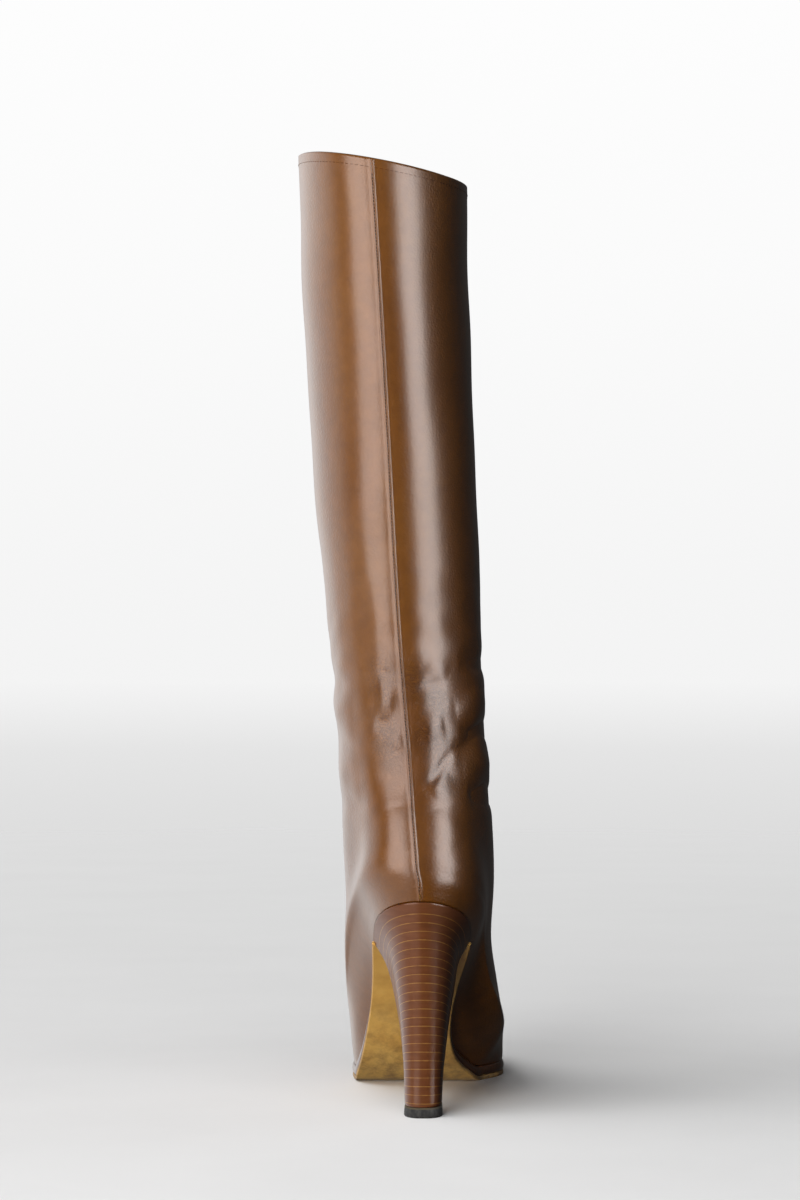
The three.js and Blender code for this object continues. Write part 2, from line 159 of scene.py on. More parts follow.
def slice_table():
    """The slices in metres: back and front points, bend, then both sides' half breadths."""
    rows = []
    for given, outer, inner in zip(slice_rows, outer_rows, inner_rows):
        row = dict(zip(slice_columns, given))
        on_shaft = row["at"] >= ankle_slice
        along = shaft_depth if on_shaft else foot_length
        across = shaft_breadth if on_shaft else ball_breadth

        def risen(base, rise):
            if rise > 1:
                return ankle_height + (shaft_height - ankle_height) * (rise - 1)
            return base + (ankle_height - base) * rise

        rows.append([
            -row["lean"] * shaft_lean, row["back_y"] * along, risen(seat_height, row["back_rise"]),
            -row["lean"] * shaft_lean + row["swing"] * toe_swing, row["front_y"] * along,
            risen(toe_height, row["front_rise"]), row["bend"],
            *(share * across for share in (row["back_round"], *outer, row["front_round"])),
            *(share * across for share in (row["back_round"], *inner, row["front_round"])),
        ])
    return rows


slice_at = curve_through([row[0] for row in slice_rows], slice_table())
station_count = len(station_places)
station_basis = curve_through(station_places, np.eye(station_count))


def upper_points(at, angle):
    """Outer face of the upper. at: the slice, angle: 0 at the back seam, outer side first."""
    cut = slice_at(at)
    back, front, bend = cut[..., 0:3], cut[..., 3:6], cut[..., 6]
    place = (1 - np.cos(angle)) / 2
    weights = station_basis(place)
    outer = (weights * cut[..., 7:7 + station_count]).sum(-1)
    inner = (weights * cut[..., 7 + station_count:]).sum(-1)
    off_centre = -np.where(np.sin(angle) >= 0, outer, inner) * np.sin(angle)
    points = back + (front - back) * place[..., None]
    straight = seat_height + (toe_height - seat_height) * place
    points[..., 2] += bend * (sole_height(place * foot_length) - straight)
    up = np.maximum(0, (at - ankle_slice) / (collar_slice - ankle_slice))
    points[..., 2] += (-collar_slope * off_centre - collar_dip * (1 - place)) * up ** 2
    points[..., 0] += off_centre
    return points


def grid_normals(points):
    """Unit normals of a grid of points: rows up, columns round and closed on themselves."""
    upward = np.gradient(points, axis=0)
    around = np.roll(points, -1, axis=1) - np.roll(points, 1, axis=1)
    normals = np.cross(upward, around)
    return normals / np.linalg.norm(normals, axis=-1, keepdims=True)


def make_piece(name, points, faces, smooth=True):
    mesh = bpy.data.meshes.new(name)
    mesh.from_pydata(np.asarray(points).reshape(-1, 3).tolist(), [], faces)
    mesh.validate()
    mesh.update()
    mesh.shade_smooth() if smooth else mesh.shade_flat()
    piece = bpy.data.objects.new(name, mesh)
    bpy.context.scene.collection.objects.link(piece)
    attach(piece, "root")
    return piece


def ring_faces(rings, columns, first=0, closed=False):
    """Quads between rings of points, each joined to the next (and the last to the first)."""
    faces = []
    for ring in range(rings if closed else rings - 1):
        low = first + ring * columns
        high = first + ((ring + 1) % rings) * columns
        for column in range(columns):
            other = (column + 1) % columns
            faces.append((low + column, high + column, high + other, low + other))
    return faces


# Columns round the upper: close together across the back seam, then even
seam_steps = np.array([0.00015, 0.0003, 0.00045, 0.0006, 0.00075, 0.0009, 0.00105, 0.0012, 0.0014,
                       0.0018, 0.0026])
even_columns = 102


def column_angles(at):
    """Angles of the columns of the slices at, one row each, from the seam round to the seam."""
    roundness = slice_at(at)[..., 7:8]
    near = seam_steps / roundness
    share = np.arange(1, even_columns + 1) / (even_columns + 1)
    side = np.concatenate([near, near[:, -1:] + (np.pi - near[:, -1:]) * share], axis=1)
    middle = np.zeros((len(at), 1))
    return np.concatenate([middle, side, middle + np.pi, 2 * np.pi - side[:, ::-1]], axis=1)


# Rows up the upper, closest where the ankle creases and at the collar's edge
fold_top_slice = 13.2
hem_top_slice = 17.86
levels = np.concatenate([
    np.linspace(0, ankle_slice, 150, endpoint=False),
    np.linspace(ankle_slice, fold_top_slice, 84, endpoint=False),
    np.linspace(fold_top_slice, hem_top_slice, 84, endpoint=False),
    np.linspace(hem_top_slice, collar_slice, 7),
])
angles = column_angles(levels)
outer_face = upper_points(levels[:, None] + 0 * angles, angles)
face_normals = grid_normals(outer_face)
from_seam = np.minimum(angles, 2 * np.pi - angles) * slice_at(levels)[:, 7:8]

# Degrees round the leg from the back seam, towards the inner side above 0, and height
around = -np.degrees(np.where(angles > np.pi, angles - 2 * np.pi, angles))
height = outer_face[..., 2]
leg_radius = 0.042

# Creases and swellings of the leg. Each runs from one point to the other: degrees from
# the seam and height in metres. depth above 0 swells out and below 0 sinks in.
fold_columns = ("from_around", "from_height", "to_around", "to_height", "width", "depth")
leg_folds = [
    (-22, 0.262, -32, 0.218, 0.0085, -0.0008),
    (-31, 0.226, -24, 0.196, 0.0080, -0.0006),
    (-19, 0.2190, -3, 0.2145, 0.0018, -0.00014),
    (-17, 0.2105, -3, 0.2110, 0.0016, -0.00012),
    (-22, 0.2045, -7, 0.2020, 0.0070, 0.0006),
    (-25, 0.1935, -6, 0.1890, 0.0070, -0.0006),
    (-9, 0.1890, -5, 0.1780, 0.0050, 0.0003),
    (-26, 0.1830, -13, 0.1560, 0.0100, -0.0006),
    (-14, 0.1520, -10, 0.1320, 0.0090, 0.0004),
    (3, 0.2165, 13, 0.2130, 0.0018, -0.00014),
    (20, 0.2230, 36, 0.2160, 0.0050, 0.0004),
    (8, 0.2080, 33, 0.2110, 0.0032, -0.00035),
    (12, 0.1985, 34, 0.2020, 0.0026, -0.00025),
    (12, 0.1890, 30, 0.1910, 0.0070, 0.0008),
    (8, 0.1620, 40, 0.1810, 0.0026, -0.0007),
    (14, 0.1600, 30, 0.1690, 0.0065, 0.0004),
    (36, 0.1790, 64, 0.1860, 0.0040, -0.0009),
    (16, 0.1500, 30, 0.1340, 0.0100, 0.0004),
    (40, 0.1990, 84, 0.2030, 0.0065, 0.0016),
    (46, 0.2230, 110, 0.2205, 0.0055, -0.0018),
    (42, 0.1900, 124, 0.1870, 0.0050, -0.0022),
    (48, 0.1580, 112, 0.1545, 0.0050, -0.0026),
    (44, 0.1715, 96, 0.1735, 0.0060, 0.0016),
    (-46, 0.2110, -104, 0.2150, 0.0065, -0.0007),
    (-46, 0.1950, -96, 0.2000, 0.0070, 0.0009),
    (-42, 0.1800, -116, 0.1870, 0.0065, -0.0009),
    (-48, 0.1640, -100, 0.1690, 0.0070, 0.0007),
    (-38, 0.1540, -98, 0.1490, 0.0065, -0.0007),
]


def folded(around, height, folds, radius):
    """How far the leather stands out (or in) for each row of a table of folds."""
    out = np.zeros_like(height)
    for row in folds:
        fold = dict(zip(fold_columns, row))
        start = np.array([np.radians(fold["from_around"]) * radius, fold["from_height"]])
        end = np.array([np.radians(fold["to_around"]) * radius, fold["to_height"]])
        along = end - start
        place = np.stack([np.radians(around) * radius, height], axis=-1) - start
        share = (place @ along) / (along @ along)
        share = np.clip(share, 0, 1)
        gap = np.linalg.norm(place - share[..., None] * along, axis=-1)
        taper = 1 - (2 * share - 1) ** 2
        out += fold["depth"] * taper * np.exp(-(gap / fold["width"]) ** 2)
    return out


def waves(points, size, seed, count=9):
    """Soft random swells of about the given size, from crossing waves."""
    source = np.random.default_rng(seed)
    total = np.zeros(points.shape[:-1])
    for _ in range(count):
        way = source.normal(size=3)
        way /= np.linalg.norm(way)
        wavelength = size * source.uniform(0.7, 1.6)
        total += np.cos(points @ way * 2 * np.pi / wavelength + source.uniform(0, 2 * np.pi))
    return total / np.sqrt(count)


ridge_half = 0.0011
ridge_height = 0.00040
groove_half = 0.00024
seam_profile = ridge_height * (1 - smooth_step(from_seam, ridge_half * 0.35, ridge_half * 1.6))
seam_profile -= ridge_height * 0.9 * np.exp(-(from_seam / groove_half) ** 2)
ankle_share = smooth_step(height, 0.13, 0.17) * (1 - smooth_step(height, 0.23, 0.30))
broad_swell = 0.0005
fine_swell = 0.00016
fold_wander = 0.0012
swell = waves(outer_face, 0.070, 4) * broad_swell
swell += waves(outer_face, 0.018, 5) * fine_swell * ankle_share
bent = height + waves(outer_face, 0.022, 7) * fold_wander
still = smooth_step(levels, 0, 1.2)[:, None]
hem_width = 0.005
hem_step = 0.00012
shaft_slice = (shaft_height - ankle_height) / (collar_slice - ankle_slice)
hem_slice = collar_slice - hem_width / shaft_slice
hem_share = smooth_step(levels, hem_slice - 0.01, hem_slice + 0.01)[:, None]
rise = seam_profile + hem_step * hem_share + swell * still
rise += folded(around, bent, leg_folds, leg_radius)
outer_skin = outer_face + face_normals * rise[..., None]

edge_roll = outer_face[-1] + face_normals[-1] * -upper_skin / 2 + [0, 0, upper_skin * 0.35]
inner_levels = np.concatenate([np.linspace(17.95, 13, 18), np.linspace(12.6, 1, 24)])
inner_angles = column_angles(inner_levels)
inner_base = upper_points(inner_levels[:, None] + 0 * inner_angles, inner_angles)
inner_skin = inner_base + grid_normals(inner_base) * upper_skin


def feather_points(angle, grow):
    """Plan outline of the feather line, grown outward (or inward below 0)."""
    step = 0.01
    here = upper_points(0 * angle, angle)
    after = upper_points(0 * angle, angle + step)
    before = upper_points(0 * angle, angle - step)
    along = (after - before)[..., :2]
    along /= np.linalg.norm(along, axis=-1, keepdims=True)
    return here[..., :2] + np.stack([-along[..., 1], along[..., 0]], axis=-1) * grow


def on_sole(plan, above):
    """Points above (or below) the upper's underside, measured square to it."""
    step = 0.0005
    y = plan[..., 1]
    slope = (sole_height(y + step) - sole_height(y - step)) / (2 * step)
    length = np.hypot(1, slope)
    up = sole_height(y) + above / length
    return np.stack([plan[..., 0], y - above * slope / length, up], axis=-1)


first_angles = angles[0]
margin_rings = [
    on_sole(feather_points(first_angles, -upper_skin), upper_skin),
    on_sole(feather_points(first_angles, -margin_width), upper_skin),
    on_sole(feather_points(first_angles, -margin_width), 0),
]
upper_rings = [*outer_skin, edge_roll, *inner_skin, *margin_rings]
shift = np.array([0, seat_back, 0])
upper = make_piece("upper_leather", np.array(upper_rings) + shift,
                   ring_faces(len(upper_rings), angles.shape[1], closed=True))
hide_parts("upper")

# How crackled the leather is: most in the crook of the ankle, on both sides of the seam
crackle_places = [(-13, 0.212, 11, 0.013), (11, 0.213, 12, 0.010), (24, 0.203, 10, 0.010),
                  (-15, 0.186, 12, 0.016), (20, 0.186, 14, 0.010), (24, 0.168, 12, 0.008)]
crackle = np.zeros_like(height)
for middle, level_up, half_round, half_up in crackle_places:
    spread = np.exp(-((around - middle) / half_round) ** 2 - ((height - level_up) / half_up) ** 2)
    crackle = np.maximum(crackle, spread)
point_crackle = np.zeros((len(upper_rings), angles.shape[1]))
point_crackle[:len(levels)] = crackle
crackled = upper.data.attributes.new("crackle", "FLOAT", "POINT")
crackled.data.foreach_set("value", point_crackle.ravel())


def new_group(name, inputs, outputs):
    """An empty shader group. inputs and outputs: name, socket type and, for inputs, the value."""
    group = bpy.data.node_groups.new(name, "ShaderNodeTree")
    for label, kind, value in inputs:
        socket = group.interface.new_socket(label, in_out="INPUT", socket_type="NodeSocket" + kind)
        if value is not None:
            socket.default_value = value
    for label, kind in outputs:
        group.interface.new_socket(label, in_out="OUTPUT", socket_type="NodeSocket" + kind)
    return group, group.nodes.new("NodeGroupInput"), group.nodes.new("NodeGroupOutput")


def add_node(tree, kind, settings=None, **values):
    """A shader node. settings: its own properties, values: its inputs, as numbers or as links."""
    node = tree.nodes.new("ShaderNode" + kind)
    for key, value in (settings or {}).items():
        setattr(node, key, value)
    for key, value in values.items():
        wanted = key.replace("_", " ")
        socket = node.inputs[int(key[1:])] if key[1:].isdigit() else next(
            found for found in node.inputs if found.name.lower() == wanted.lower() and found.enabled)
        if isinstance(value, bpy.types.NodeSocket):
            tree.links.new(value, socket)
        else:
            socket.default_value = value
    return node


def mix_colours(tree, share, first, second, mode="MIX"):
    node = add_node(tree, "Mix", {"data_type": "RGBA", "blend_type": mode})
    for index, value in ((0, share), (6, first), (7, second)):
        if isinstance(value, bpy.types.NodeSocket):
            tree.links.new(value, node.inputs[index])
        else:
            node.inputs[index].default_value = value
    return node.outputs[2]


def ramp(tree, value, stops):
    """A colour ramp. stops: place and grey or colour."""
    node = add_node(tree, "ValToRGB", fac=value)
    elements = node.color_ramp.elements
    while len(elements) < len(stops):
        elements.new(0.5)
    for element, (place, colour) in zip(elements, stops):
        element.position = place
        element.color = colour if isinstance(colour, tuple) else (colour, colour, colour, 1)
    return node.outputs["Color"]


def new_material(name):
    material = bpy.data.materials.new(name)
    material.use_nodes = True
    tree = material.node_tree
    return material, tree, tree.nodes["Principled BSDF"]


# Grain of calf leather: fine pores between low pebbles, and the fine cracks of the bent places
grain_group, entry, exit_node = new_group(
    "calf_grain",
    [("Pebble Scale", "Float", 900.0), ("Crackle", "Float", 0.0)],
    [("Height", "Float"), ("Cracks", "Float")])
place = add_node(grain_group, "TexCoord").outputs["Object"]
pebbles = add_node(grain_group, "TexVoronoi", {"feature": "SMOOTH_F1"}, vector=place,
                   scale=entry.outputs["Pebble Scale"], smoothness=0.6)
bending = add_node(grain_group, "TexNoise", vector=place, scale=120.0, detail=3.0)
shifted = mix_colours(grain_group, 0.012, place, bending.outputs["Color"])
squeezed = add_node(grain_group, "Mapping", vector=shifted, scale=(1, 1, 2.4))
cells = add_node(grain_group, "TexVoronoi", {"feature": "DISTANCE_TO_EDGE"},
                 vector=squeezed.outputs[0], scale=420.0)
edges = add_node(grain_group, "MapRange", value=cells.outputs["Distance"],
                 from_min=0.0, from_max=0.12, to_min=1.0, to_max=0.0)
cracks = add_node(grain_group, "Math", {"operation": "MULTIPLY"}, _0=edges.outputs[0],
                  _1=entry.outputs["Crackle"])
low_pebbles = add_node(grain_group, "Math", {"operation": "MULTIPLY"},
                       _0=pebbles.outputs["Distance"], _1=0.35)
sunk = add_node(grain_group, "Math", {"operation": "SUBTRACT"},
                _0=low_pebbles.outputs[0], _1=cracks.outputs[0])
grain_group.links.new(sunk.outputs[0], exit_node.inputs["Height"])
grain_group.links.new(cracks.outputs[0], exit_node.inputs["Cracks"])


def place_group(tree, group, **values):
    node = tree.nodes.new("ShaderNodeGroup")
    node.node_tree = group
    for key, value in values.items():
        socket = node.inputs[key.replace("_", " ")]
        if isinstance(value, bpy.types.NodeSocket):
            tree.links.new(value, socket)
        else:
            socket.default_value = value
    return node


cognac = (0.31, 0.104, 0.011, 1)
cognac_light = (0.38, 0.145, 0.020, 1)
cognac_dark = (0.20, 0.060, 0.007, 1)


def calf_material(name, light, middle, dark):
    """Glossy dyed calf: mottled dye, fine grain and a hard polished coat."""
    material, tree, shader = new_material(name)
    place = add_node(tree, "TexCoord").outputs["Object"]
    long_place = add_node(tree, "Mapping", vector=place, scale=(1, 1, 0.35)).outputs[0]
    broad = add_node(tree, "TexNoise", vector=long_place, scale=22.0, detail=4.0, roughness=0.6)
    fine = add_node(tree, "TexNoise", vector=place, scale=160.0, detail=3.0)
    dye = ramp(tree, broad.outputs["Fac"], [(0.3, dark), (0.5, middle), (0.72, light)])
    dye = mix_colours(tree, 0.55, middle, dye)
    mottle = ramp(tree, fine.outputs["Fac"], [(0.35, 0.86), (0.65, 1.0)])
    dye = mix_colours(tree, 1.0, dye, mottle, "MULTIPLY")
    creased = add_node(tree, "Attribute", {"attribute_name": "crackle"}).outputs["Fac"]
    grain = place_group(tree, grain_group, Crackle=creased)
    dye = mix_colours(tree, grain.outputs["Cracks"], dye, dark)
    tree.links.new(dye, shader.inputs["Base Color"])
    bump = add_node(tree, "Bump", height=grain.outputs["Height"], strength=0.7, distance=0.0008)
    tree.links.new(bump.outputs[0], shader.inputs["Normal"])
    gloss = add_node(tree, "MapRange", value=broad.outputs["Fac"], to_min=0.24, to_max=0.36)
    tree.links.new(gloss.outputs[0], shader.inputs["Roughness"])
    shader.inputs["Specular IOR Level"].default_value = 0.12
    shader.inputs["Coat Weight"].default_value = 1.0
    shader.inputs["Coat Roughness"].default_value = 0.28
    return material


upper.data.materials.append(calf_material("cognac_calf", cognac_light, cognac, cognac_dark))

# Stitching: one row of waxed thread along the back seam, sunk in the groove between its two ridges,
# and one row round the collar that holds the turned hem.
def stitch_row(name, line, normals, pitch, length, radius, sides=6):
    """Stitches along a line of points: short capsules that dip at both ends, as one mesh."""
    steps = np.linalg.norm(np.diff(line, axis=0), axis=1)
    reach = np.concatenate([[0], np.cumsum(steps)])
    centres = np.arange(pitch, reach[-1], pitch)
    profile = [(-0.5, 0.15, -0.9), (-0.42, 0.75, -0.35), (-0.2, 1, 0.25), (0.2, 1, 0.25),
               (0.42, 0.75, -0.35), (0.5, 0.15, -0.9)]
    turns = np.linspace(0, 2 * np.pi, sides, endpoint=False)

    def along(values, places):
        return np.stack([np.interp(places, reach, values[:, axis]) for axis in range(3)], axis=-1)

    points = []
    faces = []
    for centre in centres:
        before, middle, after = along(line, centre + np.array([-length / 4, 0, length / 4]))
        way = after - before
        way /= np.linalg.norm(way)
        out = along(normals, np.array([centre]))[0]
        out -= way * (out @ way)
        out /= np.linalg.norm(out)
        across = np.cross(way, out)
        first = len(points)
        for place, size, lift in profile:
            heart = middle + way * place * length + out * lift * radius
            points.extend(heart + (across * np.cos(turn) + out * np.sin(turn)) * radius * size
                          for turn in turns)
        faces.extend([first + corner for corner in face] for face in ring_faces(len(profile), sides))
        faces.append([first + side for side in range(sides)])
        faces.append([first + (len(profile) - 1) * sides + side for side in reversed(range(sides))])
    return make_piece(name, points, faces)


def thread_material(name, colour):
    material, tree, shader = new_material(name)
    place = add_node(tree, "TexCoord").outputs["Object"]
    twist = add_node(tree, "TexWave", {"bands_direction": "DIAGONAL"}, vector=place, scale=900.0,
                     distortion=2.0)
    shade = ramp(tree, twist.outputs["Fac"], [(0.2, 0.55), (0.8, 1.0)])
    tree.links.new(mix_colours(tree, 1.0, colour, shade, "MULTIPLY"), shader.inputs["Base Color"])
    bump = add_node(tree, "Bump", height=twist.outputs["Fac"], strength=0.4, distance=0.0001)
    tree.links.new(bump.outputs[0], shader.inputs["Normal"])
    shader.inputs["Roughness"].default_value = 0.75
    shader.inputs["Specular IOR Level"].default_value = 0.1
    return material


seam_first = np.searchsorted(levels, 0.7)
seam_last = np.searchsorted(levels, hem_slice)
seam_line = outer_skin[seam_first:seam_last, 0] + shift
seam_normals = face_normals[seam_first:seam_last, 0]
dark_thread = thread_material("dark_thread", (0.05, 0.016, 0.005, 1))
brown_thread = thread_material("brown_thread", (0.20, 0.066, 0.012, 1))
thread_lift = 0.00012
back_stitches = stitch_row("back_seam_stitches", seam_line + seam_normals * thread_lift,
                           seam_normals, pitch=0.0016, length=0.0012, radius=0.00018)
back_stitches.data.materials.append(dark_thread)

hem_row = np.searchsorted(levels, collar_slice - 0.78 * hem_width / shaft_slice)
hem_thread_lift = 0.00002
hem_line = outer_skin[hem_row] + shift + face_normals[hem_row] * hem_thread_lift
hem_stitches = stitch_row("hem_stitches", hem_line, face_normals[hem_row],
                          pitch=0.0026, length=0.0020, radius=0.00012)
hem_stitches.data.materials.append(brown_thread)

# The last stitches of the seam, in a golden thread, down to the heel seat
end_line = np.linspace(outer_skin[1, 0], outer_skin[seam_first, 0], 8) + shift
end_normals = np.repeat(face_normals[seam_first // 2, 0][None], len(end_line), axis=0)
end_lift = 0.00035
golden_thread = thread_material("golden_thread", (0.45, 0.25, 0.07, 1))
end_stitches = stitch_row("seam_end_stitches", end_line + end_normals * end_lift, end_normals,
                          pitch=0.0013, length=0.0012, radius=0.0003)
end_stitches.data.materials.append(golden_thread)

# Lining: a thin tan leather glued inside the shaft and the foot, cut a little short of the collar
# edge, where its own edge shows as a thin light line.
lining_gap = 0.00005
lining_skin = 0.0007
lining_reach = 17.97
lining_levels = np.concatenate([np.linspace(1, 12.6, 40), np.linspace(13, lining_reach, 30)])
lining_angles = column_angles(lining_levels)
lining_base = upper_points(lining_levels[:, None] + 0 * lining_angles, lining_angles)
lining_inward = -grid_normals(lining_base)
lining_out = lining_base + lining_inward * (upper_skin + lining_gap)
lining_in = lining_out + lining_inward * lining_skin
lining_rings = [*lining_out, *lining_in[::-1]]
lining = make_piece("shaft_lining", np.array(lining_rings) + shift,
                    ring_faces(len(lining_rings), lining_angles.shape[1], closed=True))


def plain_leather(name, colour, dark, roughness, scale):
    """Unglazed tan leather: cloudy colour, faint nap and pores."""
    material, tree, shader = new_material(name)
    place = add_node(tree, "TexCoord").outputs["Object"]
    cloud = add_node(tree, "TexNoise", vector=place, scale=scale, detail=5.0)
    shade = ramp(tree, cloud.outputs["Fac"], [(0.32, dark), (0.62, colour)])
    tree.links.new(shade, shader.inputs["Base Color"])
    grain = place_group(tree, grain_group, Pebble_Scale=1500.0)
    bump = add_node(tree, "Bump", height=grain.outputs["Height"], strength=0.3, distance=0.0003)
    tree.links.new(bump.outputs[0], shader.inputs["Normal"])
    shader.inputs["Roughness"].default_value = roughness
    return material


lining.data.materials.append(
    plain_leather("lining_leather", (0.42, 0.25, 0.12, 1), (0.30, 0.165, 0.075, 1), 0.62, 30.0))

# Insole: the board that the foot stands on, covered with the same tan leather, inside the upper
# on its lasting margin.
wall = 0.002
insole_clearance = 0.0009
insole_seat = 0.00055
insole_thickness = 0.002
sole_edge = 0.0006
plate_columns = 150


def plate_piece(name, start, rings, across=10):
    """A piece that follows the feather line, from the angle start to the toe. rings: growth of the
    outline and height above the upper's underside as a function of the place, lowest ring first."""
    near = np.linspace(start, np.pi, plate_columns)
    pointed = start == 0
    far = 2 * np.pi - near[-2:0:-1] if pointed else 2 * np.pi - near[-2::-1]
    loop = np.concatenate([near, far])
    count = len(loop)
    points = []
    for grow, above in rings:
        plan = feather_points(loop, grow)
        points.extend(on_sole(plan, above(plan[..., 1])))
    faces = ring_faces(len(rings), count)
    for ring_start, rising in ((0, False), ((len(rings) - 1) * count, True)):
        rungs = []
        for column in range(1, plate_columns - 1):
            partner = count - column if pointed else count - 1 - column
            left, right = points[ring_start + column], points[ring_start + partner]
            first = len(points)
            points.extend(left + (right - left) * step / across for step in range(1, across))
            rungs.append([ring_start + column, *range(first, first + across - 1),
                          ring_start + partner])
        cap = [[low[step], low[step + 1], high[step + 1], high[step]]
               for low, high in zip(rungs, rungs[1:]) for step in range(across)]
        tip = ring_start + plate_columns - 1
        cap.extend([rungs[-1][step], rungs[-1][step + 1], tip] for step in range(across))
        if pointed:
            cap.extend([rungs[0][step + 1], rungs[0][step], ring_start] for step in range(across))
        else:
            cap.append([ring_start, ring_start + count - 1, *rungs[0][::-1]])
        faces.extend(face[::-1] if rising else face for face in cap)
    piece = make_piece(name, np.array(points) + shift, faces)
    piece.data.set_sharp_from_angle(angle=np.radians(50))
    return piece


def level(height):
    return lambda y: 0 * y + height


board_low = wall + insole_seat
board_inset = -(wall + insole_clearance)
insole = plate_piece("insole_board", 0, [
    (board_inset - 0.0003, level(board_low)),
    (board_inset, level(board_low + 0.0004)),
    (board_inset, level(board_low + insole_thickness - 0.0005)),
    (board_inset - 0.0002, level(board_low + insole_thickness - 0.0001)),
    (board_inset - 0.0006, level(board_low + insole_thickness)),
])
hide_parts("insole")
insole.data.materials.append(
    plain_leather("insole_leather", (0.47, 0.29, 0.14, 1), (0.33, 0.19, 0.09, 1), 0.55, 24.0))

# Platform: a thin slab under the forefoot, covered with the same calf as the upper before it is
# glued on, tapering to a thin edge under the arch. Its calf is painted darker than the upper's,
# as painted shade under the foot.
platform_back = 0.0889
platform_back_thickness = 0.0006
platform_lead = 0.008
platform_feather = 0.011
edge_bevel = 0.0005


def stack_depth(y):
    """Depth of the platform and its clearance, thinning under the arch."""
    full = smooth_step(y, platform_back, tread_start - platform_lead)
    feather_end = platform_back - 2 * edge_bevel
    thin = smooth_step(y, feather_end - platform_feather, feather_end)
    return thin * (platform_back_thickness + clearance) * (1 - full) + platform_stack * full


def between(low, high, share):
    return lambda y: low(y) + (high(y) - low(y)) * share


platform_low = lambda y: -stack_depth(y)
platform_high = level(-clearance)
cover_bulge = 0.0004
platform_profile = [(0, -0.0006), (0.04, -0.0002), (0.14, 0.0001), (0.5, cover_bulge), (0.86, 0.0001),
                    (0.96, -0.0002), (1, -0.0006)]
platform = plate_piece("platform_cover", np.arccos(1 - 2 * platform_back / foot_length), [
    (sole_edge + grow, between(platform_low, platform_high, share)) for share, grow in platform_profile])
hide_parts("platform")
# The same calf in darker colours: painted shade for the band that lies under the foot.
platform.data.materials.append(calf_material(
    "platform_calf_painted_shade", (0.27, 0.085, 0.016, 1), (0.20, 0.060, 0.011, 1), (0.10, 0.030, 0.006, 1)))

# Outsole: one sheet of smooth golden sole leather, from the heel's breast down the arch and under
# the ball to the toe, its edge trimmed, rounded and burnished.
breast_place = 0.0491


def under_outsole(y):
    return -clearance - stack_depth(y) - outsole_thickness


def over_outsole(y):
    return -clearance - stack_depth(y)


outsole_profile = [(0, -edge_bevel), (0.08, -0.0002), (0.2, 0), (0.5, 0.00015), (0.85, 0), (1, -0.0003)]
outsole = plate_piece("leather_outsole", np.arccos(1 - 2 * breast_place / foot_length), [
    (sole_edge + grow, between(under_outsole, over_outsole, share)) for share, grow in outsole_profile],
    across=24)
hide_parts("outsole")

tan = (0.60, 0.33, 0.075, 1)
tan_light = (0.70, 0.42, 0.115, 1)
tan_dirty = (0.48, 0.24, 0.05, 1)
low_dark_brown = (0.17, 0.08, 0.022, 1)
sole_material, tree, shader = new_material("golden_sole_leather")
place = add_node(tree, "TexCoord").outputs["Object"]
spread = add_node(tree, "SeparateXYZ", vector=place)
cloud = add_node(tree, "TexNoise", vector=place, scale=35.0, detail=6.0, roughness=0.62)
shade = ramp(tree, cloud.outputs["Fac"], [(0.3, tan_dirty), (0.46, tan), (0.7, tan_light)])
# Darker in patches towards the floor: the golden colour is mixed with a dark brown as the sole comes
# down.
toward_floor = add_node(tree, "MapRange", value=spread.outputs["Z"], from_min=0.065, from_max=0.008)
patches = add_node(tree, "TexNoise", vector=place, scale=75.0, detail=7.0, roughness=0.7)
low_darkening = add_node(tree, "Math", {"operation": "MULTIPLY"}, _0=toward_floor.outputs[0],
                _1=ramp(tree, patches.outputs["Fac"], [(0.42, 0.1), (0.62, 0.85)]))
shade = mix_colours(tree, low_darkening.outputs[0], shade, low_dark_brown)
tree.links.new(shade, shader.inputs["Base Color"])
drawn_out = add_node(tree, "Mapping", vector=place, scale=(6, 1, 1)).outputs[0]
lines = add_node(tree, "TexNoise", vector=drawn_out, scale=120.0, detail=3.0)
bump = add_node(tree, "Bump", height=lines.outputs["Fac"], strength=0.15, distance=0.0004)
tree.links.new(bump.outputs[0], shader.inputs["Normal"])
shader.inputs["Roughness"].default_value = 0.48
outsole.data.materials.append(sole_material)

# Heel: a tall block built up of thin leather lifts, turned slim towards the tip, dyed dark and
# polished, so that each joint between two lifts shows as a fine golden line.
breast_clearance = 0.0004
seat_clearance = 0.0005
tip_breadth = 0.0182
tip_corner = 0.7
tip_squareness = 0.8
lift_thickness = 0.005
lift_count = 23.8
seat_lift = 0.9
# Drop from seat (0) to tip (1), share of the seat's extra breadth left on the outer and the inner
# side, and how far the back and the breast have come to the tip's place
heel_rows = [
    (0, 1, 1, 0, 0), (0.05, 0.84, 0.82, 0.06, 0.14), (0.12, 0.64, 0.61, 0.16, 0.3),
    (0.22, 0.465, 0.49, 0.3, 0.48), (0.35, 0.32, 0.38, 0.47, 0.66), (0.5, 0.19, 0.25, 0.65, 0.81),
    (0.65, 0.105, 0.15, 0.8, 0.9), (0.82, 0.035, 0.05, 0.93, 0.97), (1, 0, 0, 1, 1),
]
heel_shape = curve_through([row[0] for row in heel_rows], [row[1:] for row in heel_rows])
breast_angle = np.arccos(1 - 2 * breast_place / foot_length) - breast_clearance / (foot_length / 2)
heel_half = np.linspace(0, 1, 49)
tip_top = lift_thickness + clearance


